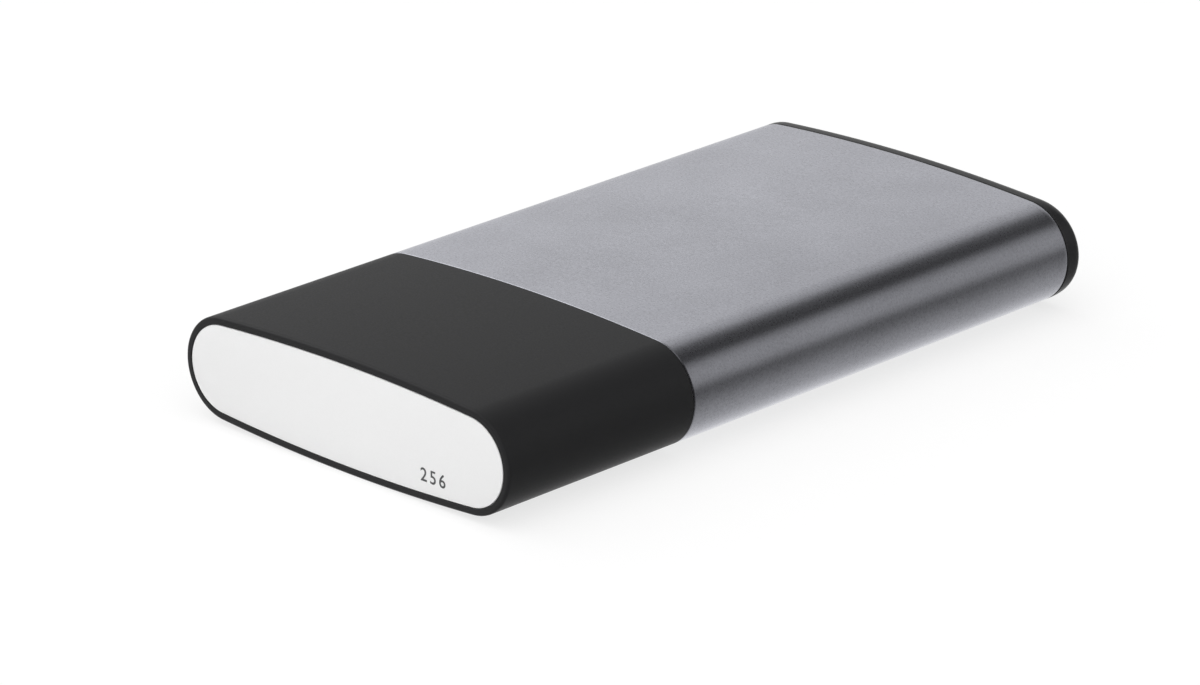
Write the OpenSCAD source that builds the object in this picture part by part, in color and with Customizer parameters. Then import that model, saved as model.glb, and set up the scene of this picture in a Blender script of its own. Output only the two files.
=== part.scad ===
// Portable solid state drive: an aluminium sleeve between a black front shroud and a dark
// rear cap, with the board on a tray inside. The drive lies flat, its length along Y,
// the white front plate at -Y and the USB socket at +Y. Millimetres.

/* [Body] */
// Length over all
body_l = 106; // [104:1:118]
// Width over all
body_w = 58; // [56:1:64]
// Height at the crown
body_h = 15.5; // [15:0.5:17]
// Radius of the shallow crown, top and bottom
crown_r = 310; // [270:10:400]
// Length of the black front shroud
shroud_l = 32.2; // [30:0.2:36]
// Length of the rear cap that shows behind the sleeve
cap_l = 2.9; // [2.7:0.1:3.4]
// Rounding of the shroud's front rim
rim_edge = 0.4; // [0.3:0.1:0.5]
// Rounding of the rear cap's outer edge
cap_edge = 2; // [1.6:0.1:2.2]

/* [Walls] */
// Wall of the extruded sleeve
sleeve_wall = 1.2; // [1:0.1:1.4]
// Wall of the moulded shroud
shroud_wall = 1.6; // [1.4:0.1:1.8]
// Width of the shroud's rim round the front plate
rim_w = 1; // [0.9:0.1:1.2]
// Thickness of the white front plate
plate_t = 1.1; // [0.9:0.1:1.3]
// Thickness of the bulkhead behind the plate
bulkhead_t = 2; // [1.8:0.1:2.4]
// Length of the spigots that slide into the sleeve
spigot_l = 4; // [3:0.5:5]
// Thickness of the spigots
spigot_t = 1; // [0.8:0.1:1.2]

/* [Guides] */
// Height of the middle of the guide slot above the underside
slot_z = 7; // [6.8:0.1:7.2]
// Width of the guide slot between two ribs
slot_w = 1.4; // [1.3:0.1:1.5]
// Thickness of each guide rib
rib_t = 1; // [0.8:0.1:1.2]
// How far the guide ribs stand in from the sleeve's wall
rib_reach = 1.6; // [1.4:0.1:1.8]

/* [Tray] */
// Half width inside the tray
tray_half = 20; // [19.8:0.1:20.4]
// Thickness of the tray's floor and walls
tray_t = 1; // [0.8:0.1:1.2]
// Thickness of the side flanges that ride in the guide slots
flange_t = 1.2; // [1:0.1:1.2]

/* [Board] */
// Width of the circuit board
board_w = 36; // [35:0.5:36]
// Thickness of the circuit board
board_t = 1; // [0.8:0.2:1.2]
// Length of a flash memory package
flash_l = 18; // [16:1:18]
// Width of a flash memory package
flash_w = 12; // [11:1:13]
// Thickness of a flash memory package
flash_t = 1.2; // [1:0.1:1.4]

/* [Socket] */
// Outer width of the USB-C socket's shell
socket_w = 8.94;
// Outer height of the USB-C socket's shell
socket_h = 3.26;
// Length of the USB-C socket's shell
socket_l = 7.3;
// How far the socket's mouth sits behind the rear face
socket_sink = 0.6; // [0.4:0.1:0.8]
// Thickness of the socket's sheet metal
socket_wall = 0.3;

/* [Screws] */
// Thread diameter of all the screws
screw_d = 2;
// Head diameter of all the screws
head_d = 3.6;
// Head height of all the screws
head_h = 1.2;
// Length of the two case screws under the head
case_screw_l = 8; // [6:1:9]
// Length of the four board screws under the head
board_screw_l = 2.6; // [2.2:0.1:2.7]

/* [Hidden] */

$fn = 48;
crown_fn = 720;
slack = 0.1;
cut = 1;
root = 0.5;

// The body's section is two crown arcs and a round side. The side's radius follows from
// being tangent to both crowns, and side_lap makes the arcs cross instead of only touch.
side_lap = 0.05;
side_r = (crown_r*body_h - pow(body_h, 2)/4 - pow(body_w, 2)/4)/(2*crown_r - body_w) + side_lap;
side_x = body_w/2 - side_r;
side_angle = atan2(crown_r - body_h/2, side_x);
crown_shift = crown_r - body_h/2;

front_y = -body_l/2;
rear_y = body_l/2;
seam_y = front_y + shroud_l;
cap_y = rear_y - cap_l;
sleeve_l = cap_y - seam_y;
mid_z = body_h/2;

film_t = 0.1;
film_inset = rim_w + 0.8;
plate_fit = 0.05;
recess_d = plate_t + film_t;
bulkhead_y = front_y + recess_d;
tray_front_y = bulkhead_y + bulkhead_t;

spigot_inset = sleeve_wall + slack;
spigot_notch = slot_w + 2*rib_t + 2*slack;
spigot_root = 2;
rib_x = body_w/2 - sleeve_wall - rib_reach;

// The tray clears the lower spigots, and its flanges ride in the sleeve's guide slots.
tray_outer = tray_half + tray_t;
tray_z = crown_z(tray_outer, spigot_inset + spigot_t) + 0.15;
tray_floor_z = tray_z + tray_t;
flange_x = body_w/2 - sleeve_wall - 0.8;
flange_low_z = slot_z - flange_t/2;
flange_high_z = slot_z + flange_t/2;

// The socket stands on the board with its middle at mid height, which sets the board's height.
board_top = mid_z - socket_h/2;
board_z = board_top - board_t;

// The case screws run from the bulkhead into bosses on the tray, and the board starts behind.
case_screw_x = 12;
case_seat_y = bulkhead_y + head_h + slack;
boss_d = 5;
boss_end_y = case_seat_y + case_screw_l + 1.4;
boss_to_board = 8.1;
cap_to_board = 1.1;
board_front_y = boss_end_y + boss_to_board;
board_rear_y = cap_y - cap_to_board;
board_screw_x = board_w/2 - 2.5;
board_screw_y = [board_front_y + 2.2, board_rear_y - 5];
post_d = 4.4;
recess_l = 2;
recess_w = 0.5;
recess_h = 0.7;

socket_y = rear_y - socket_sink - socket_l;
socket_fit = 0.13;
leg_y = [socket_y + 0.5, socket_y + 2.2];
leg_x = socket_w/2 - 0.35;
leg_t = 0.25;
leg_w = 0.8;
leg_h = 1.2;
tongue_w = 6.69;
tongue_t = 0.7;
tongue_base_l = 2.6;
tongue_tip = 0.7;
contacts_a_side = 12;
contact_pitch = 0.5;
contact_w = 0.25;
contact_l = 3.4;
contact_t = 0.05;

hook_x = tray_half - 0.2;
hook_t = 1.2;
hook_l = 8;
hook_low_z = tray_floor_z + 0.3;
hook_high_z = flange_low_z - 0.3;
barb_l = 1.6;
barb_out = 1;
barb_y = cap_y - hook_l;

guide_x = 9.5;
guide_z = board_top + 1;
guide_d = 1.8;
guide_flange_d = 2.8;
guide_flange_t = 0.8;
led_size = [1.6, 1, 1.6];

foam_w = 12;
foam_clear = 2;

head_clear = 0.4;
controller_size = [12, 12, 1.1];
controller_x = -5;
cache_size = [8, 10, 1];
cache_x = 8.5;
bridge_size = [8, 8, 0.9];
regulator_size = [3, 3, 0.9];
regulator_x = 10;
crystal_size = [3.2, 2.5, 0.8];
crystal_x = -8;
inductor_size = [3.2, 3.2, 1.8];
inductor_x = [8, 12.5];
inductor_shift = -5;
bulk_cap_size = [1.6, 3.2, 1.4];
bulk_cap_x = bulk_cap_size[0]/2 + head_clear + head_d/2 - board_screw_x;
bulk_cap_pitch = 4.5;
small_cap_size = [0.8, 1.6, 0.8];
small_cap_pitch = 5;
resistor_size = [0.5, 1, 0.35];
resistor_pitch = 1.5;

// Rows on the board from the front: two of flash packages, the controller's, the bridge
// chip's and the socket. What length they leave free is shared out between them.
row_front = 4.2;
rows_l = 2*flash_l + controller_size[1] + bridge_size[1];
row_gap = (socket_y - board_front_y - row_front - rows_l)/6;
flash_x = 7.5;
flash_1_y = board_front_y + row_front + flash_l/2;
flash_2_y = flash_1_y + flash_l + row_gap;
chip_row_y = flash_2_y + flash_l/2 + row_gap + controller_size[1]/2;
bridge_y = chip_row_y + controller_size[1]/2 + 1.5*row_gap + bridge_size[1]/2;
resistor_y = [bridge_y - bridge_size[1]/2 - 0.75*row_gap, bridge_y + bridge_size[1]/2 + row_gap];

// Height of the crown's lower arc at x, for an outline shrunk by inset.
function crown_z(x, inset) = crown_r - sqrt(pow(crown_r - inset, 2) - pow(x, 2));

// Places a round shape so that it bulges out on one side of the body, with its seam on
// the middle of the crown: side is 1 or -1.
module crown(side) {
    translate([0, -side*crown_shift]) rotate([0, 0, side*90]) children();
}

// The body's X-Z section about its middle, shrunk by inset.
module section(inset = 0) {
    flat_x = side_x + (side_r - inset)*cos(side_angle);
    intersection() {
        crown(1) circle(crown_r - inset, $fn = crown_fn);
        crown(-1) circle(crown_r - inset, $fn = crown_fn);
        union() {
            square([2*flat_x, body_h], center = true);
            for (s = [-1, 1]) translate([s*side_x, 0]) circle(side_r - inset);
        }
    }
}

// Stretches a section drawn about the body's middle along Y, from y over a length.
module along_body(y, length) {
    translate([0, y + length, mid_z]) rotate([90, 0, 0]) linear_extrude(length) children();
}

module slab(y, length, inset = 0) {
    along_body(y, length) section(inset);
}

// A disc with its lower edge rounded.
module rounded_disc(r, h, edge) {
    rotate_extrude() difference() {
        square([r, h]);
        difference() {
            translate([r - edge, -cut]) square([edge + cut, edge + cut]);
            translate([r - edge, edge]) circle(edge);
        }
    }
}

// The body's section stretched from y = 0 along +Y, with the edge at y = 0 rounded.
module rounded_slab(length, edge) {
    flat_x = side_x + side_r*cos(side_angle);
    rotate([-90, 0, 0]) intersection() {
        crown(1) rounded_disc(crown_r, length, edge, $fn = crown_fn);
        crown(-1) rounded_disc(crown_r, length, edge, $fn = crown_fn);
        union() {
            translate([-flat_x, -body_h/2, 0]) cube([2*flat_x, body_h, length]);
            for (s = [-1, 1]) translate([s*side_x, 0, 0]) rounded_disc(side_r, length, edge);
        }
    }
}

// A box from its low corner to its high corner.
module block(low, high) {
    translate(low) cube(high - low);
}

// A box of a given size that stands on the board, centred on x and y.
module on_board(x, y, size) {
    translate([x - size[0]/2, y - size[1]/2, board_top]) cube(size);
}

module both_sides() {
    children();
    mirror([1, 0, 0]) children();
}

// A bar with round ends, as seen from the rear.
module stadium(w, h) {
    square([w - h, h], center = true);
    for (s = [-1, 1]) translate([s*(w - h)/2, 0]) circle(d = h);
}

// A rod along Y from y over a length, on the line x, z.
module rod(x, z, y, length, d) {
    translate([x, y, z]) rotate([-90, 0, 0]) cylinder(h = length, d = d);
}

// A cross-head screw along Z, its head standing on z = 0.
module screw(length) {
    difference() {
        union() {
            cylinder(d = head_d, h = head_h);
            translate([0, 0, -length]) cylinder(d = screw_d, h = length + root);
        }
        for (turn = [0, 90]) rotate([0, 0, turn])
            translate([-recess_l/2, -recess_w/2, head_h - recess_h]) cube([recess_l, recess_w, head_h]);
    }
}

// A ring that slides into the sleeve, open at the sides for the guide ribs.
module spigot_section() {
    difference() {
        section(spigot_inset);
        section(spigot_inset + spigot_t);
        translate([0, slot_z - mid_z]) square([body_w, spigot_notch], center = true);
    }
}

module sleeve_section() {
    difference() {
        section();
        section(sleeve_wall);
    }
    intersection() {
        section(sleeve_wall/2);
        both_sides() for (s = [-1, 1])
            translate([rib_x, slot_z - mid_z + s*(slot_w + rib_t)/2 - rib_t/2])
                square([rib_reach + sleeve_wall, rib_t]);
    }
}

module sleeve() color("silver") along_body(seam_y, sleeve_l) sleeve_section();

module front_shroud() color([0.25, 0.25, 0.25]) difference() {
    union() {
        difference() {
            translate([0, front_y, mid_z]) rounded_slab(shroud_l, rim_edge);
            slab(front_y - cut, recess_d + cut, rim_w);
            slab(tray_front_y, shroud_l, shroud_wall);
        }
        along_body(seam_y - spigot_root, spigot_root + spigot_l) spigot_section();
    }
    both_sides() {
        rod(case_screw_x, slot_z, bulkhead_y - cut, head_h + slack + cut, head_d + 2*slack);
        rod(case_screw_x, slot_z, bulkhead_y, bulkhead_t + cut, screw_d + 2*slack);
    }
}

module front_plate() color([0.93, 0.93, 0.93]) slab(front_y, plate_t, rim_w + plate_fit);

module plate_adhesive() color([0.8, 0.8, 0.75]) difference() {
    slab(front_y + plate_t, film_t, film_inset);
    both_sides() rod(case_screw_x, slot_z, front_y, plate_t + recess_d, head_d + 4*slack);
}

// An arm on the rear cap whose barb snaps into a window in the tray's wall.
module hook() {
    block([hook_x - hook_t, barb_y, hook_low_z], [hook_x, cap_y + root, hook_high_z]);
    translate([0, 0, hook_low_z]) linear_extrude(hook_high_z - hook_low_z)
        polygon([
            [hook_x - hook_t/2, barb_y],
            [hook_x, barb_y],
            [hook_x + barb_out, barb_y + barb_l],
            [hook_x - hook_t/2, barb_y + barb_l]
        ]);
}

module rear_cap() color([0.2, 0.2, 0.2]) difference() {
    union() {
        translate([0, rear_y, mid_z]) mirror([0, 1, 0]) rounded_slab(cap_l, cap_edge);
        along_body(cap_y - spigot_l, spigot_l + root) spigot_section();
        both_sides() hook();
    }
    along_body(cap_y - cut, cap_l + 2*cut) stadium(socket_w + 2*socket_fit, socket_h + 2*socket_fit);
    rod(guide_x, guide_z, cap_y - cut, cap_l + 2*cut, guide_d + slack);
}

module light_guide() color([0.85, 0.92, 0.95]) {
    rod(guide_x, guide_z, board_rear_y, rear_y - board_rear_y, guide_d);
    rod(guide_x, guide_z, cap_y - guide_flange_t, guide_flange_t, guide_flange_d);
}

module tray() color([0.35, 0.35, 0.38]) difference() {
    union() {
        block([-tray_outer, tray_front_y, tray_z], [tray_outer, cap_y, tray_floor_z]);
        block([-tray_outer, tray_front_y, tray_z], [tray_outer, tray_front_y + tray_t, flange_high_z]);
        both_sides() {
            block([tray_half, tray_front_y, tray_z], [tray_outer, cap_y, flange_high_z]);
            block([tray_half, tray_front_y, flange_low_z], [flange_x, cap_y, flange_high_z]);
            rod(case_screw_x, slot_z, tray_front_y, boss_end_y - tray_front_y, boss_d);
            block([case_screw_x - tray_t/2, tray_front_y, tray_z],
                  [case_screw_x + tray_t/2, boss_end_y, slot_z]);
            for (y = board_screw_y)
                translate([board_screw_x, y, tray_z]) cylinder(d = post_d, h = board_z - tray_z);
        }
    }
    both_sides() {
        rod(case_screw_x, slot_z, tray_front_y - cut, boss_end_y - tray_front_y, screw_d);
        for (y = board_screw_y)
            translate([board_screw_x, y, board_top - board_screw_l - slack])
                cylinder(d = screw_d, h = body_h);
        block([tray_half - cut, barb_y - slack, hook_low_z - slack],
              [tray_outer + cut, barb_y + barb_l + slack, hook_high_z + slack]);
    }
}

module foam_strip() color([0.2, 0.2, 0.2]) intersection() {
    slab(seam_y + spigot_l + foam_clear, sleeve_l - 2*(spigot_l + foam_clear), sleeve_wall);
    block([-foam_w/2, front_y, 0], [foam_w/2, rear_y, tray_z]);
}

module case_screws() color([0.55, 0.55, 0.58])
    both_sides() translate([case_screw_x, case_seat_y, slot_z]) rotate([90, 0, 0]) screw(case_screw_l);

module circuit_board() color([0.05, 0.25, 0.15]) difference() {
    block([-board_w/2, board_front_y, board_z], [board_w/2, board_rear_y, board_top]);
    both_sides() {
        for (y = board_screw_y)
            translate([board_screw_x, y, board_z - cut]) cylinder(d = screw_d + 2*slack, h = board_t + 2*cut);
        for (y = leg_y)
            block([leg_x - slack, y - slack, board_z - cut],
                  [leg_x + leg_t + slack, y + leg_w + slack, board_top + cut]);
    }
}

module board_screws() color([0.55, 0.55, 0.58])
    both_sides() for (y = board_screw_y) translate([board_screw_x, y, board_top]) screw(board_screw_l);

module flash_chip(x, y) color([0.08, 0.08, 0.09]) on_board(x, y, [flash_w, flash_l, flash_t]);

module flash_chip_1() flash_chip(-flash_x, flash_1_y);

module flash_chip_2() flash_chip(flash_x, flash_1_y);

module flash_chip_3() flash_chip(-flash_x, flash_2_y);

module flash_chip_4() flash_chip(flash_x, flash_2_y);

module controller_chip() color([0.1, 0.1, 0.11]) on_board(controller_x, chip_row_y, controller_size);

module cache_chip() color([0.1, 0.1, 0.11]) on_board(cache_x, chip_row_y, cache_size);

module bridge_chip() color([0.1, 0.1, 0.11]) on_board(0, bridge_y, bridge_size);

module voltage_regulator() color([0.12, 0.12, 0.13]) on_board(regulator_x, bridge_y, regulator_size);

module crystal() color([0.75, 0.75, 0.72]) on_board(crystal_x, bridge_y, crystal_size);

module power_inductors() color([0.3, 0.3, 0.3])
    for (x = inductor_x) on_board(x, bridge_y + inductor_shift, inductor_size);

module capacitors() color([0.72, 0.6, 0.42]) {
    for (i = [-1:1]) on_board(bulk_cap_x, bridge_y + i*bulk_cap_pitch, bulk_cap_size);
    for (y = [flash_1_y, flash_2_y]) for (i = [-1:1]) on_board(0, y + i*small_cap_pitch, small_cap_size);
}

module resistors() color([0.15, 0.15, 0.16])
    for (y = resistor_y) for (i = [-3:3]) on_board(i*resistor_pitch, y, resistor_size);

module status_led() color([0.95, 0.95, 0.85])
    on_board(guide_x, board_rear_y - slack - led_size[1]/2, led_size);

module usb_socket_shell() color([0.75, 0.75, 0.77]) {
    along_body(socket_y, socket_l) difference() {
        stadium(socket_w, socket_h);
        stadium(socket_w - 2*socket_wall, socket_h - 2*socket_wall);
    }
    both_sides() for (y = leg_y)
        block([leg_x, y, board_top - leg_h], [leg_x + leg_t, y + leg_w, mid_z - 0.4]);
}

module usb_tongue() color([0.1, 0.1, 0.1]) {
    along_body(socket_y, tongue_base_l) stadium(socket_w - 2*socket_wall, socket_h - 2*socket_wall);
    block([-tongue_w/2, socket_y + root, mid_z - tongue_t/2],
          [tongue_w/2, socket_y + socket_l - tongue_tip, mid_z + tongue_t/2]);
}

module usb_contacts() color("gold")
    for (i = [0:contacts_a_side - 1]) for (s = [-1, 1])
        translate([(i - (contacts_a_side - 1)/2)*contact_pitch, socket_y + tongue_base_l + contact_l/2,
                   mid_z + s*(tongue_t + contact_t)/2])
            cube([contact_w, contact_l, contact_t], center = true);

sleeve();
front_shroud();
front_plate();
plate_adhesive();
rear_cap();
light_guide();
tray();
foam_strip();
case_screws();
circuit_board();
board_screws();
flash_chip_1();
flash_chip_2();
flash_chip_3();
flash_chip_4();
controller_chip();
cache_chip();
bridge_chip();
voltage_regulator();
crystal();
power_inductors();
capacitors();
resistors();
status_led();
usb_socket_shell();
usb_tongue();
usb_contacts();
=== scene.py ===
import math

import bmesh
import bpy
from mathutils import Matrix, Vector


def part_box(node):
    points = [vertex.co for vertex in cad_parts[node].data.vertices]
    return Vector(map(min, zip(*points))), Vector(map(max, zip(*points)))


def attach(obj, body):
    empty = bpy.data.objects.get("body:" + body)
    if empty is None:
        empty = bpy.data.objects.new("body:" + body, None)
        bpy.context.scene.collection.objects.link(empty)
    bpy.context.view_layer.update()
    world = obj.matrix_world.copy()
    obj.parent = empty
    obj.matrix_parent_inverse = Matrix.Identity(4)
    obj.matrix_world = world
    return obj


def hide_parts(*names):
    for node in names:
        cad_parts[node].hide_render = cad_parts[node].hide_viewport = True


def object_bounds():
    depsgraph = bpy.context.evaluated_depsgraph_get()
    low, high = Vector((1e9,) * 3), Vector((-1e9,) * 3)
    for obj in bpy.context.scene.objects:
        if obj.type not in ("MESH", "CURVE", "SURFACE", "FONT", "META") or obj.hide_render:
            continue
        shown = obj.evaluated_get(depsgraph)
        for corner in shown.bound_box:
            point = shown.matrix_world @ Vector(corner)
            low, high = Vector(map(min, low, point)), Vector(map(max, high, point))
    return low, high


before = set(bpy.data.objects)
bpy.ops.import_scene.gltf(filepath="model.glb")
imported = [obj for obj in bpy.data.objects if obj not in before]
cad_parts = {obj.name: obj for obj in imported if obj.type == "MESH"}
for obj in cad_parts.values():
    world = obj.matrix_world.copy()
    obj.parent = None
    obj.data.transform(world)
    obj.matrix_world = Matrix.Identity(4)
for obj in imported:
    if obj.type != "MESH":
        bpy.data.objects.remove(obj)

CAD_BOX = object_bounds()
MM = 0.001
# How far a cutting tool reaches past the face that it cuts
CUT = 1*MM

# The body's measures, from the frame's boxes and the crown's radius

SLEEVE_LOW, SLEEVE_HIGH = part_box("sleeve")
FRONT_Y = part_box("front_shroud")[0].y
REAR_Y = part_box("rear_cap")[1].y
SEAM_Y, CAP_Y = SLEEVE_LOW.y, SLEEVE_HIGH.y
BODY_W = CAD_BOX[1][0] - CAD_BOX[0][0]
BODY_H = CAD_BOX[1][2] - CAD_BOX[0][2]
MID_Z = (CAD_BOX[0][2] + CAD_BOX[1][2])/2
CROWN_R = 310*MM
SIDE_R = (CROWN_R*BODY_H - BODY_H**2/4 - BODY_W**2/4)/(2*CROWN_R - BODY_W)
SIDE_X = BODY_W/2 - SIDE_R
CROWN_ANGLE = math.atan2(SIDE_X, CROWN_R - BODY_H/2)

SLEEVE_WALL = 1.2*MM
SHROUD_WALL = 1.6*MM
PLATE_FIT = 0.05*MM
PLATE_LOW, PLATE_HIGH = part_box("front_plate")
RIM_W = (BODY_W - (PLATE_HIGH.x - PLATE_LOW.x))/2 - PLATE_FIT
SPIGOT_FIT = 0.1*MM
SPIGOT_INSET = SLEEVE_WALL + SPIGOT_FIT
SPIGOT_T = 1*MM
SPIGOT_ROOT = 2*MM
SPIGOT_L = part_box("front_shroud")[1].y - SEAM_Y
BULKHEAD_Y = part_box("plate_adhesive")[1].y
TRAY_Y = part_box("tray")[0].y

# The guide slot in the sleeve, with a rib above and below it, measured from mid height
SLOT_Z = -0.75*MM
SLOT_W = 1.4*MM
RIB_T = 1*MM
RIB_REACH = 2.8*MM
RIB_X = BODY_W/2 - RIB_REACH
RIB_ROOT_X = BODY_W/2 - SLEEVE_WALL/2
RIB_Z = (SLOT_Z - (SLOT_W + RIB_T)/2, SLOT_Z + (SLOT_W + RIB_T)/2)
NOTCH_W = SLOT_W + 2*RIB_T + 2*SPIGOT_FIT

SCREW_X = 12*MM
SCREW_HOLE_R = 1.1*MM
COUNTERBORE_R = 1.9*MM
COUNTERBORE_L = 1.3*MM

SOCKET_W, SOCKET_H, SOCKET_WALL = 8.94*MM, 3.26*MM, 0.3*MM
SOCKET_FIT = 0.13*MM
SOCKET_LOW, SOCKET_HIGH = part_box("usb_socket_shell")
TONGUE_W, TONGUE_T = 6.69*MM, 0.7*MM
# How long the tongue's base is, and how far its tip stays behind the socket's mouth
TONGUE_BASE_L, TONGUE_TIP = 2.6*MM, 0.7*MM
GUIDE_LOW, GUIDE_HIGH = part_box("light_guide")
GUIDE_X = (GUIDE_LOW.x + GUIDE_HIGH.x)/2
GUIDE_Z = (GUIDE_LOW.z + GUIDE_HIGH.z)/2 - MID_Z
GUIDE_R, GUIDE_FLANGE_R, GUIDE_FLANGE_T = 0.9*MM, 1.4*MM, 0.8*MM
GUIDE_BORE_R = 0.95*MM

# Shaping: every piece is drawn about mid height, and raised to its place at the end

CROWN_STEPS = 14
SIDE_STEPS = 22
SOCKET_STEPS = 16
DOME_STEPS = 12
ROD_SIDES = 48
MERGE = 0.001*MM
# Faces that meet at less than this angle are shaded as one smooth surface
CREASE = math.radians(30)


def outline(mesh, y, start, turns):
    """Edges of a closed outline at y: a quarter is spun from its top point through each of
    turns (centre x, centre z, angle, steps) and mirrored down and across."""
    before = set(mesh.verts)
    tip = [mesh.verts.new((start[0], y, start[1]))]
    for centre_x, centre_z, angle, steps in turns:
        spun = bmesh.ops.spin(mesh, geom=tip, cent=(centre_x, y, centre_z), axis=(0, 1, 0),
                              angle=angle, steps=steps)
        tip = [part for part in spun["geom_last"] if isinstance(part, bmesh.types.BMVert)]
    for axis in "ZX":
        ring = [vert for vert in mesh.verts if vert not in before]
        edges = {edge for vert in ring for edge in vert.link_edges}
        bmesh.ops.mirror(mesh, geom=ring + list(edges), axis=axis, merge_dist=-1)
        ring = [vert for vert in mesh.verts if vert not in before]
        bmesh.ops.remove_doubles(mesh, verts=ring, dist=MERGE)
    return list({edge for vert in mesh.verts if vert not in before for edge in vert.link_edges})


def body_outline(mesh, y, inset, side_inset=None):
    """The body's section: a crown arc and a round side, drawn in by inset all round, or by
    side_inset at the sides."""
    before = set(mesh.verts)
    edges = outline(mesh, y, (0, BODY_H/2 - inset), [
        (0, BODY_H/2 - CROWN_R, CROWN_ANGLE, CROWN_STEPS),
        (SIDE_X, 0, math.pi/2 - CROWN_ANGLE, SIDE_STEPS),
    ])
    if side_inset is not None:
        width = (BODY_W/2 - side_inset)/(BODY_W/2 - inset)
        bmesh.ops.scale(mesh, verts=[vert for vert in mesh.verts if vert not in before],
                        vec=(width, 1, 1))
    return edges


def socket_outline(mesh, y, inset):
    """The USB-C socket's section: a bar with round ends."""
    flat = (SOCKET_W - SOCKET_H)/2
    before = set(mesh.verts)
    edges = outline(mesh, y, (flat, SOCKET_H/2 - inset), [(flat, 0, math.pi/2, SOCKET_STEPS)])
    ring = [vert for vert in mesh.verts if vert not in before]
    for side in (1, -1):
        ends = [vert for vert in ring if abs(vert.co.z - side*(SOCKET_H/2 - inset)) < MERGE]
        edges += bmesh.ops.contextual_create(mesh, geom=ends)["edges"]
    return edges


def lofted(draw_outline, stations):
    """A closed block through the outlines at stations of (y, inset), or of
    (y, inset, side inset)."""
    mesh = bmesh.new()
    rings = [draw_outline(mesh, *station) for station in stations]
    for near, far in zip(rings, rings[1:]):
        bmesh.ops.bridge_loops(mesh, edges=near + far)
    for ring in (rings[0], rings[-1]):
        bmesh.ops.contextual_create(mesh, geom=ring)
    bmesh.ops.recalc_face_normals(mesh, faces=mesh.faces)
    return as_object(mesh)


def rod(x, z, y_from, y_to, radius, edge=0):
    """A round bar along Y, with its ends rounded by edge."""
    mesh = bmesh.new()
    bmesh.ops.create_cone(mesh, cap_ends=True, segments=ROD_SIDES, radius1=radius,
                          radius2=radius, depth=y_to - y_from)
    if edge:
        caps = [face for face in mesh.faces if len(face.verts) > 4]
        rims = [line for line in mesh.edges if any(face in caps for face in line.link_faces)]
        bmesh.ops.bevel(mesh, geom=rims, offset=edge, affect="EDGES", segments=3, profile=0.5,
                        material=-1)
    bmesh.ops.rotate(mesh, verts=mesh.verts, matrix=Matrix.Rotation(math.pi/2, 3, "X"))
    bmesh.ops.translate(mesh, verts=mesh.verts, vec=(x, (y_from + y_to)/2, z))
    return as_object(mesh)


def bar(low, high, edge=0):
    """A box from its low corner to its high corner, with its edges rounded."""
    mesh = bmesh.new()
    low, high = Vector(low), Vector(high)
    bmesh.ops.create_cube(mesh, size=1)
    bmesh.ops.scale(mesh, verts=mesh.verts, vec=high - low)
    bmesh.ops.translate(mesh, verts=mesh.verts, vec=(low + high)/2)
    if edge:
        bmesh.ops.bevel(mesh, geom=mesh.edges[:], offset=edge, affect="EDGES", segments=2,
                        profile=0.5, material=-1)
    return as_object(mesh)


def side_bar(side, x_in, x_out, y_from, y_to, z_low, z_high):
    """A bar between two distances from the middle, on one side of it (1 or -1)."""
    return bar((min(side*x_in, side*x_out), y_from, z_low),
               (max(side*x_in, side*x_out), y_to, z_high))


def as_object(mesh):
    """The drawn shape as an object of the scene."""
    data = bpy.data.meshes.new("shape")
    mesh.to_mesh(data)
    mesh.free()
    made = bpy.data.objects.new("shape", data)
    bpy.context.scene.collection.objects.link(made)
    return made


def combined(body, operation, tools):
    """Cuts the tools out of the body (DIFFERENCE) or joins them to it (UNION)."""
    for tool in tools:
        step = body.modifiers.new("shape", "BOOLEAN")
        step.object, step.operation, step.solver = tool, operation, "EXACT"
    bpy.context.view_layer.update()
    depsgraph = bpy.context.evaluated_depsgraph_get()
    shaped = bpy.data.meshes.new_from_object(body.evaluated_get(depsgraph))
    body.modifiers.clear()
    body.data = shaped
    for tool in tools:
        bpy.data.objects.remove(tool)


def both_sides(make, x, *rest):
    """The same shape at x and at its mirrored place."""
    return [make(side*x, *rest) for side in (1, -1)]


def finished(body, name, material, slot, *nodes):
    """Raises a piece to its height, smooths it up to the crease angle and puts it in the frame."""
    body.name = body.data.name = name
    body.data.transform(Matrix.Translation((0, 0, MID_Z)))
    body.data.shade_smooth()
    body.data.set_sharp_from_angle(angle=CREASE)
    body.data.materials.clear()
    body.data.materials.append(material)
    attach(body, "root")
    if nodes:
        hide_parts(*nodes)


def rounded_end(y, direction, edge, steps):
    """Stations of a quarter-round end at y; direction is the way from the end into the body."""
    turns = [math.pi/2*step/steps for step in range(steps + 1)]
    return [(y + direction*edge*(1 - math.cos(turn)), edge*(1 - math.sin(turn))) for turn in turns]


# Materials

# The broad, faint clouding that a moulding or an anodised face has, and its share in the tone
CLOUD = 15*MM
CLOUD_SHARE = 0.5
# The values that the grain lies between, alone and with its share of cloud
GRAIN_LOW, GRAIN_HIGH = 0.3, 0.7
TONE_LOW, TONE_HIGH = 0.5, 1.0


def colour(hex_code):
    """An sRGB hex colour as linear RGBA."""
    parts = [int(hex_code[place:place + 2], 16)/255 for place in (1, 3, 5)]
    return (*[part/12.92 if part <= 0.04045 else ((part + 0.055)/1.055)**2.4 for part in parts], 1)


def add(tree, kind, settings=None, links=None):
    """Adds a node: settings are its properties or its sockets' values, links feed its sockets."""
    node = tree.nodes.new(kind)
    for name, value in (settings or {}).items():
        if isinstance(name, str) and hasattr(node, name):
            setattr(node, name, value)
        else:
            node.inputs[name].default_value = value
    for name, source in (links or {}).items():
        tree.links.new(source, node.inputs[name])
    return node


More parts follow.
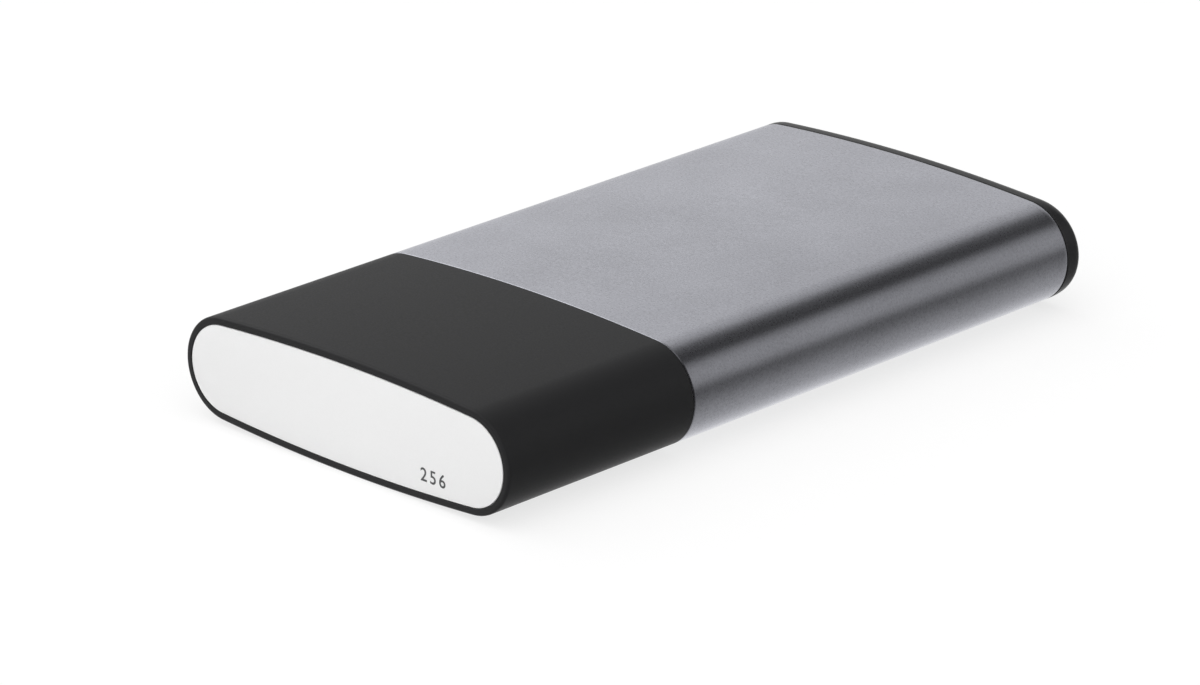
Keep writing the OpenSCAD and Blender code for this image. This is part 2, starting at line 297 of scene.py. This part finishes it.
def surface(name, base, rough, grain_mm, tone=0.04, rough_spread=0.04, relief_mm=0.0, **sockets):
    """A material whose fine grain, grain_mm across, varies the base colour by the share tone
    and the roughness by rough_spread, and stands up by relief_mm."""
    material = bpy.data.materials.new(name)
    material.use_nodes = True
    tree = material.node_tree
    tree.nodes.clear()
    place = add(tree, "ShaderNodeTexCoord").outputs["Object"]
    grain = add(tree, "ShaderNodeTexNoise", {"Scale": 1/(grain_mm*MM), "Detail": 2.0},
                {"Vector": place}).outputs["Fac"]
    cloud = add(tree, "ShaderNodeTexNoise", {"Scale": 1/CLOUD, "Detail": 3.0},
                {"Vector": place}).outputs["Fac"]
    mixed = add(tree, "ShaderNodeMath", {"operation": "MULTIPLY_ADD", 1: CLOUD_SHARE},
                {0: cloud, 2: grain})
    tint = add(tree, "ShaderNodeValToRGB", {}, {"Fac": mixed.outputs["Value"]})
    ends = zip(tint.color_ramp.elements, (TONE_LOW, TONE_HIGH), (1 - tone, 1 + tone))
    for stop, place_on_ramp, share in ends:
        stop.position = place_on_ramp
        stop.color = (*[part*share for part in colour(base)[:3]], 1)
    sheen = add(tree, "ShaderNodeMapRange", {
        "From Min": GRAIN_LOW, "From Max": GRAIN_HIGH,
        "To Min": rough - rough_spread, "To Max": rough + rough_spread}, {"Value": grain})
    shader = add(tree, "ShaderNodeBsdfPrincipled", sockets,
                 {"Base Color": tint.outputs["Color"], "Roughness": sheen.outputs["Result"]})
    if relief_mm:
        relief = add(tree, "ShaderNodeBump", {"Distance": relief_mm*MM}, {"Height": grain})
        tree.links.new(relief.outputs["Normal"], shader.inputs["Normal"])
    add(tree, "ShaderNodeOutputMaterial", {}, {"Surface": shader.outputs["BSDF"]})
    return material


# A pixel of the render covers about 0.14 mm, so the grain of the outer skins, some 0.1 mm across
# on the real ones, is too fine to show. It is drawn two to three times as coarse.

# Bead-blasted, clear anodised aluminium: satin silver, faintly blue, with a fine even grain. The
# real dimples are about 0.1 mm across and are drawn at 0.3 mm, almost in the colour alone.
blasted_aluminium = surface("blasted_anodised_aluminium", "#E3E4ED", 0.28, 0.3, tone=0.14,
                            rough_spread=0.008, relief_mm=0.0002, Metallic=1.0)
# Spark-textured black ABS: deep black with a broad soft sheen. The real texture of about 0.1 mm is
# drawn at 0.22 mm.
black_abs = surface("textured_black_abs", "#232324", 0.44, 0.22, relief_mm=0.001, IOR=1.31)
# Satin white polycarbonate: clean white, almost without sheen. Its real grain of about 0.1 mm is
# drawn at 0.3 mm.
white_polycarbonate = surface("satin_white_polycarbonate", "#E8E8E8", 0.45, 0.3, tone=0.008,
                              relief_mm=0.0005)
# Dark grey ABS of the rear cap, moulded a little glossier than the shroud. Its real grain of about
# 0.1 mm is drawn at 0.22 mm.
dark_abs = surface("moulded_dark_abs", "#242425", 0.3, 0.22, rough_spread=0.02,
                   relief_mm=0.0005, IOR=1.38)
# Pad-printed grey ink: matt, flat on the plate.
grey_ink = surface("grey_pad_print", "#4C4C4E", 0.6, 0.1)
# Clear polished acrylic: passes the status light, with a faint blue edge.
clear_acrylic = surface("clear_acrylic", "#EAF4F7", 0.08, 2.0, tone=0.01, rough_spread=0.02,
                        **{"Transmission Weight": 1.0, "IOR": 1.49})
# Nickel-plated steel: the socket's folded shell and the crystal's can, cool grey and satin.
plated_shell = surface("nickel_plated_steel", "#C9C5BD", 0.26, 0.4, tone=0.06, Metallic=1.0)
# Liquid-crystal polymer of the socket's tongue: plain matt black.
tongue_polymer = surface("moulded_lcp", "#1B1B1C", 0.5, 0.15)
# Gold flash over nickel: warm, bright contact strips.
contact_gold = surface("gold_plated_contacts", "#F2C879", 0.22, 0.2, tone=0.05, Metallic=1.0)
# Zinc-plated steel: pale screws, slightly mottled by the plating.
zinc_steel = surface("zinc_plated_steel", "#BDBEC2", 0.32, 0.5, tone=0.1, Metallic=1.0)
# Glass-filled polycarbonate of the tray: dull charcoal with fine flecks.
filled_polycarbonate = surface("glass_filled_polycarbonate", "#3A3A3E", 0.5, 0.3, tone=0.15)
# Open-cell polyurethane foam: soft black with visible cells.
cell_foam = surface("polyurethane_foam", "#2B2B2B", 0.9, 0.6, tone=0.4, relief_mm=0.2)
# Acrylic transfer tape: a thin yellowish film.
transfer_tape = surface("acrylic_transfer_tape", "#D9D2B8", 0.35, 0.8, tone=0.06)
# Green solder mask over woven glass laminate: glossy, the weave just felt in it.
solder_mask = surface("green_solder_mask", "#1C5A38", 0.28, 0.45, tone=0.12, relief_mm=0.01)
# Epoxy moulding compound: matt charcoal packages with a fine pitted face.
mould_compound = surface("epoxy_mould_compound", "#2A2A2C", 0.55, 0.12, tone=0.1,
                         relief_mm=0.004)
# Pressed ferrite and thick-film resistors: dark, slightly glassy ceramic.
ferrite = surface("pressed_ferrite", "#3C3C3E", 0.4, 0.2, tone=0.12)
# Fired barium titanate of the capacitors: biscuit brown.
capacitor_ceramic = surface("fired_capacitor_ceramic", "#B39A72", 0.45, 0.25, tone=0.1)
# Cast silicone lens of the status light: milky and pale yellow.
led_silicone = surface("cast_silicone_lens", "#EFEBCB", 0.3, 0.5, tone=0.03)

# The four skins that show

SLEEVE_FRONT_EDGE, SLEEVE_REAR_EDGE = 0.15*MM, 0.4*MM
# A ring of points this far along keeps the shading of a rounded edge off the flat beside it
SUPPORT = 0.3*MM

sleeve = lofted(body_outline, [
    *rounded_end(SEAM_Y, 1, SLEEVE_FRONT_EDGE, 2),
    (SEAM_Y + SUPPORT, 0),
    (CAP_Y - 2*SLEEVE_REAR_EDGE, 0),
    *rounded_end(CAP_Y, -1, SLEEVE_REAR_EDGE, 5)[::-1],
])
combined(sleeve, "DIFFERENCE", [lofted(body_outline, [
    (SEAM_Y - CUT, SLEEVE_WALL), (CAP_Y + CUT, SLEEVE_WALL)])])
combined(sleeve, "UNION", [
    side_bar(side, RIB_X, RIB_ROOT_X, SEAM_Y, CAP_Y, z - RIB_T/2, z + RIB_T/2)
    for side in (1, -1) for z in RIB_Z])
finished(sleeve, "aluminium_sleeve", blasted_aluminium, "sleeve_aluminium", "sleeve")

RIM_EDGE = 0.4*MM
RIM_CHAMFER = 0.1*MM
SEAM_EDGE = 0.1*MM

shroud = lofted(body_outline, [
    *rounded_end(FRONT_Y, 1, RIM_EDGE, 6),
    (FRONT_Y + RIM_EDGE + SUPPORT, 0), (SEAM_Y - SEAM_EDGE, 0), (SEAM_Y, SEAM_EDGE),
    (SEAM_Y, SPIGOT_INSET), (SEAM_Y + SPIGOT_L, SPIGOT_INSET),
])
# The spigot is notched at the sides to clear the sleeve's ribs
notches = [
    side_bar(side, RIB_X - CUT, BODY_W/2 + CUT, SEAM_Y + MERGE, SEAM_Y + SPIGOT_L + CUT,
             SLOT_Z - NOTCH_W/2, SLOT_Z + NOTCH_W/2)
    for side in (1, -1)]
combined(shroud, "DIFFERENCE", [
    lofted(body_outline, [(FRONT_Y - CUT, RIM_W - CUT), (FRONT_Y + RIM_CHAMFER, RIM_W),
                          (BULKHEAD_Y, RIM_W)]),
    lofted(body_outline, [(TRAY_Y, SHROUD_WALL), (SEAM_Y - SPIGOT_ROOT, SHROUD_WALL),
                          (SEAM_Y - SPIGOT_ROOT, SPIGOT_INSET + SPIGOT_T),
                          (SEAM_Y + SPIGOT_L + CUT, SPIGOT_INSET + SPIGOT_T)]),
    *notches,
    *both_sides(rod, SCREW_X, SLOT_Z, BULKHEAD_Y - CUT, BULKHEAD_Y + COUNTERBORE_L,
                COUNTERBORE_R),
    *both_sides(rod, SCREW_X, SLOT_Z, BULKHEAD_Y, TRAY_Y + CUT, SCREW_HOLE_R),
])
finished(shroud, "black_front_shroud", black_abs, "shroud_black", "front_shroud")

# The plate's face lies a hair behind the rim
PLATE_SINK = 0.02*MM
PLATE_EDGE = 0.12*MM
PLATE_INSET = RIM_W + PLATE_FIT

plate_face = rounded_end(FRONT_Y + PLATE_SINK, 1, PLATE_EDGE, 3)
plate = lofted(body_outline, [
    *[(y, PLATE_INSET + inset) for y, inset in plate_face],
    (PLATE_HIGH.y, PLATE_INSET),
])
finished(plate, "white_front_plate", white_polycarbonate, "plate_white", "front_plate")

# The cap's end is domed: it turns over more broadly above and below than at the sides
CAP_LIP = 0.1*MM
CAP_EDGE_TOP, CAP_EDGE_SIDE = 2.2*MM, 1.3*MM
# The socket's opening in the cap widens by this much at the rear face
MOUTH_FLARE = 0.25*MM


def turned_in(y, edge):
    """How far a quarter-round of radius edge has drawn in at y, up to the rear face."""
    along = min(edge, max(0, y - (REAR_Y - edge)))
    return edge - math.sqrt(edge**2 - along**2)


dome = [REAR_Y - CAP_EDGE_TOP*(1 - math.sin(math.pi/2*step/DOME_STEPS))
        for step in range(DOME_STEPS + 1)]
cap = lofted(body_outline, [
    (CAP_Y - SPIGOT_L, SPIGOT_INSET), (CAP_Y, SPIGOT_INSET),
    (CAP_Y, CAP_LIP), (CAP_Y + CAP_LIP, 0),
    *[(y, turned_in(y, CAP_EDGE_TOP), turned_in(y, CAP_EDGE_SIDE)) for y in dome],
])
combined(cap, "DIFFERENCE", [
    lofted(body_outline, [(CAP_Y - SPIGOT_L - CUT, SPIGOT_INSET + SPIGOT_T),
                          (CAP_Y, SPIGOT_INSET + SPIGOT_T)]),
    lofted(socket_outline, [(CAP_Y - CUT, -SOCKET_FIT), (REAR_Y - MOUTH_FLARE, -SOCKET_FIT),
                            (REAR_Y + CUT, -SOCKET_FIT - CUT - MOUTH_FLARE)]),
    rod(GUIDE_X, GUIDE_Z, CAP_Y - CUT, REAR_Y + CUT, GUIDE_BORE_R),
])
finished(cap, "dark_rear_cap", dark_abs, "cap_dark", "rear_cap")

# The socket, its tongue and the light guide, seen from the rear

SHELL_LIP = 0.1*MM
# The shell's four legs, two on each side, that hold it on the board
LEG_INSET, LEG_T, LEG_W = 0.35*MM, 0.25*MM, 0.8*MM
LEG_X = SOCKET_W/2 - LEG_INSET
LEG_Y = (SOCKET_LOW.y + 0.5*MM, SOCKET_LOW.y + 2.2*MM)
LEG_TOP_Z, LEG_LOW_Z = -0.4*MM, SOCKET_LOW.z - MID_Z

shell = lofted(socket_outline, [
    (SOCKET_LOW.y, 0), (SOCKET_HIGH.y - SHELL_LIP, 0), (SOCKET_HIGH.y, SHELL_LIP),
])
combined(shell, "DIFFERENCE", [lofted(socket_outline, [
    (SOCKET_LOW.y - CUT, SOCKET_WALL), (SOCKET_HIGH.y - SHELL_LIP, SOCKET_WALL),
    (SOCKET_HIGH.y, SOCKET_WALL - SHELL_LIP), (SOCKET_HIGH.y + CUT, SOCKET_WALL - SHELL_LIP),
])])
combined(shell, "UNION", [
    side_bar(side, LEG_X, LEG_X + LEG_T, y, y + LEG_W, LEG_LOW_Z, LEG_TOP_Z)
    for side in (1, -1) for y in LEG_Y])
finished(shell, "usb_socket_sheet_shell", plated_shell, "can_metal", "usb_socket_shell")

TONGUE_EDGE = 0.12*MM
tongue = lofted(socket_outline, [
    (SOCKET_LOW.y, SOCKET_WALL), (SOCKET_LOW.y + TONGUE_BASE_L, SOCKET_WALL),
])
combined(tongue, "UNION", [
    bar((-TONGUE_W/2, SOCKET_LOW.y + TONGUE_BASE_L/2, -TONGUE_T/2),
        (TONGUE_W/2, SOCKET_HIGH.y - TONGUE_TIP, TONGUE_T/2), TONGUE_EDGE)])
finished(tongue, "usb_socket_tongue", tongue_polymer, "tongue_plastic", "usb_tongue")

GUIDE_EDGE = 0.15*MM
guide = rod(GUIDE_X, GUIDE_Z, GUIDE_LOW.y, GUIDE_HIGH.y, GUIDE_R, GUIDE_EDGE)
combined(guide, "UNION", [rod(GUIDE_X, GUIDE_Z, CAP_Y - GUIDE_FLANGE_T, CAP_Y, GUIDE_FLANGE_R)])
finished(guide, "clear_light_guide", clear_acrylic, "clear_guide", "light_guide")

# The hidden pieces keep their solids and get their finish

FINISHES = {
    "plate_adhesive": transfer_tape, "tray": filled_polycarbonate, "foam_strip": cell_foam,
    "case_screws": zinc_steel, "board_screws": zinc_steel, "circuit_board": solder_mask,
    "flash_chip_1": mould_compound, "flash_chip_2": mould_compound,
    "flash_chip_3": mould_compound, "flash_chip_4": mould_compound,
    "controller_chip": mould_compound, "cache_chip": mould_compound,
    "bridge_chip": mould_compound, "voltage_regulator": mould_compound,
    "crystal": plated_shell, "power_inductors": ferrite, "capacitors": capacitor_ceramic,
    "resistors": ferrite, "status_led": led_silicone, "usb_contacts": contact_gold,
}
for name, material in FINISHES.items():
    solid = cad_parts[name]
    solid.data.materials.clear()
    solid.data.materials.append(material)

# Plain generic digits where the drive carries its capacity: a film of ink between the plate's
# face and the rim's. Their strokes are widened a little, and the spacing sets them apart.
DIGITS = "256"
DIGITS_AT = Vector((15.8*MM, FRONT_Y + PLATE_SINK/2, 3.75*MM))
DIGIT_SIZE = 2.5*MM
DIGIT_SPACING = 1.3
DIGIT_STROKE = 0.02*MM
INK_T = 0.01*MM

print_curve = bpy.data.curves.new("digits", "FONT")
print_curve.body = DIGITS
print_curve.size = DIGIT_SIZE
print_curve.align_x = "CENTER"
print_curve.align_y = "CENTER"
print_curve.space_character = DIGIT_SPACING
print_curve.offset = DIGIT_STROKE
print_curve.extrude = INK_T/2
lettering = bpy.data.objects.new("digits", print_curve)
bpy.context.scene.collection.objects.link(lettering)
bpy.context.view_layer.update()
digits = bpy.data.objects.new("digits", bpy.data.meshes.new_from_object(
    lettering.evaluated_get(bpy.context.evaluated_depsgraph_get())))
bpy.context.scene.collection.objects.link(digits)
bpy.data.objects.remove(lettering)
digits.data.transform(Matrix.Rotation(math.pi/2, 4, "X"))
digits.data.transform(Matrix.Translation(DIGITS_AT - Vector((0, 0, MID_Z))))
finished(digits, "capacity_digits", grey_ink, "plate_white")

# Camera, floor and light

# Where the photograph was taken from, fitted to the drive's outlines, and the point it looks at
CAMERA_AT = Vector((514.65, -526.68, 284.71))*MM
LOOKS_AT = Vector((24.60, -32.84, 18.25))*MM
CAMERA_LENS, SENSOR_W = 183.11, 36
CAMERA_ROLL = math.radians(-0.396)

view = bpy.data.objects.new("camera", bpy.data.cameras.new("camera"))
bpy.context.scene.collection.objects.link(view)
view.data.lens, view.data.sensor_width = CAMERA_LENS, SENSOR_W
view.data.clip_start, view.data.clip_end = 0.01, 20
towards = (LOOKS_AT - CAMERA_AT).to_track_quat("-Z", "Y").to_matrix().to_4x4()
view.matrix_world = Matrix.Translation(CAMERA_AT) @ towards @ Matrix.Rotation(CAMERA_ROLL, 4, "Z")
bpy.context.scene.camera = view
bpy.context.scene.view_settings.view_transform = "Standard"

# A pale floor that sweeps up into a backdrop all round, well behind the camera. Camera,
# glossy and transmission rays see most of it lit evenly, so the shadow on it stays faint.
# The drive's gloss looks past both to the soft cards of the studio.
FLOOR_R, SWEEP_R = 4.0, 4.0
EVEN_SHARE = 0.75

backdrop_paint = surface("white_backdrop_paint", "#FBFBFB", 0.8, 3.0, tone=0.003)
tree = backdrop_paint.node_tree
rays = add(tree, "ShaderNodeLightPath").outputs
seen = add(tree, "ShaderNodeMath", {"operation": "ADD"},
           {0: rays["Is Camera Ray"], 1: rays["Is Glossy Ray"]})
seen = add(tree, "ShaderNodeMath", {"operation": "ADD"},
           {0: seen.outputs["Value"], 1: rays["Is Transmission Ray"]})
share = add(tree, "ShaderNodeMath", {"operation": "MULTIPLY", 1: EVEN_SHARE, "use_clamp": True},
            {0: seen.outputs["Value"]})
paint = next(node for node in tree.nodes if node.type == "BSDF_PRINCIPLED")
output = next(node for node in tree.nodes if node.type == "OUTPUT_MATERIAL")
even = add(tree, "ShaderNodeEmission", {"Strength": 1.0})
mixed = add(tree, "ShaderNodeMixShader", {}, {
    0: share.outputs["Value"], 1: paint.outputs["BSDF"], 2: even.outputs["Emission"]})
tree.links.new(mixed.outputs["Shader"], output.inputs["Surface"])

mesh = bmesh.new()
bmesh.ops.create_circle(mesh, cap_ends=True, segments=96, radius=FLOOR_R)
floor = as_object(mesh)
floor.name = "floor"

mesh = bmesh.new()
foot = mesh.verts.new((FLOOR_R, 0, 0))
bmesh.ops.spin(mesh, geom=[foot], cent=(FLOOR_R, 0, SWEEP_R), axis=(0, 1, 0),
               angle=-math.pi/2, steps=16)
bmesh.ops.spin(mesh, geom=mesh.verts[:] + mesh.edges[:], cent=(0, 0, 0), axis=(0, 0, 1),
               angle=2*math.pi, steps=96, use_merge=True)
backdrop = as_object(mesh)
backdrop.name = "backdrop"
backdrop.data.shade_smooth()
backdrop.visible_shadow = False
backdrop.visible_diffuse = False
for piece in (floor, backdrop):
    piece.data.materials.append(backdrop_paint)
    piece.visible_glossy = False


def sun(name, direction, strength, width):
    """A broad even lamp that shines from a direction and leaves no glint on the object."""
    lamp = bpy.data.objects.new(name, bpy.data.lights.new(name, "SUN"))
    bpy.context.scene.collection.objects.link(lamp)
    lamp.data.energy, lamp.data.angle = strength, math.radians(width)
    lamp.rotation_euler = Vector(direction).to_track_quat("Z", "Y").to_euler()
    lamp.visible_glossy = False


sun("overhead_light", direction=(0.3, -0.35, 0.86), strength=2.65, width=90)

# Soft cards of the studio: azimuth from the drive's +Y towards +X, elevation, half width and
# softness, all in degrees, and strength
CARDS = {
    "low back card": (-62.2, 7.6, 50.0, 12.1, 0.311),
    "side card": (42.8, 22.0, 1.0, 25.2, 0.342),
    "ground glow": (-43.6, -39.4, 35.0, 72.3, 0.401),
    "overhead card": (0, 90, 14, 24, 0.21),
    "front left card": (-117, 40, 12, 24, 1.1),
    "front right card": (150, 8, 25, 25, 0.5),
    "front ground card": (-136, -21, 15, 25, 0.5),
    "far side card": (-88, 42, 8, 22, 1.0),
}
# The ground glows more the further down it lies, and more to the drive's left and rear. The glow
# ends a little to the right of the middle and half way to the front. The room is almost dark.
GROUND_GLOW = 1.078
LEFT_FROM, BACK_FROM = 0.2, 0.5
ROOM = 0.01

world = bpy.data.worlds.new("studio")
bpy.context.scene.world = world
world.use_nodes = True
tree = world.node_tree
tree.nodes.clear()
direction = add(tree, "ShaderNodeTexCoord").outputs["Generated"]
split = add(tree, "ShaderNodeSeparateXYZ", {}, {"Vector": direction})
below = add(tree, "ShaderNodeMath", {"operation": "MULTIPLY", 1: -GROUND_GLOW, "use_clamp": True},
            {0: split.outputs["Z"]})
left = add(tree, "ShaderNodeMath", {"operation": "SUBTRACT", 0: LEFT_FROM},
           {1: split.outputs["X"]})
left = add(tree, "ShaderNodeMath", {"operation": "MAXIMUM", 1: 0.0}, {0: left.outputs["Value"]})
back = add(tree, "ShaderNodeMath", {"operation": "ADD", 1: BACK_FROM, "use_clamp": True},
           {0: split.outputs["Y"]})
left = add(tree, "ShaderNodeMath", {"operation": "MULTIPLY"},
           {0: left.outputs["Value"], 1: back.outputs["Value"]})
total = add(tree, "ShaderNodeMath", {"operation": "MULTIPLY_ADD", 2: ROOM},
            {0: below.outputs["Value"], 1: left.outputs["Value"]})
for azimuth, elevation, half, soft, strength in CARDS.values():
    azimuth, elevation, half, soft = map(math.radians, (azimuth, elevation, half, soft))
    facing = add(tree, "ShaderNodeVectorMath", {"operation": "DOT_PRODUCT", 1: (
        math.sin(azimuth)*math.cos(elevation), math.cos(azimuth)*math.cos(elevation),
        math.sin(elevation))}, {0: direction})
    card = add(tree, "ShaderNodeMapRange", {
        "interpolation_type": "SMOOTHSTEP", "From Min": math.cos(half + soft),
        "From Max": math.cos(half), "To Max": strength}, {"Value": facing.outputs["Value"]})
    total = add(tree, "ShaderNodeMath", {"operation": "ADD"},
                {0: total.outputs["Value"], 1: card.outputs["Result"]})
glow = add(tree, "ShaderNodeBackground", {}, {"Strength": total.outputs["Value"]})
add(tree, "ShaderNodeOutputWorld", {}, {"Surface": glow.outputs["Background"]})
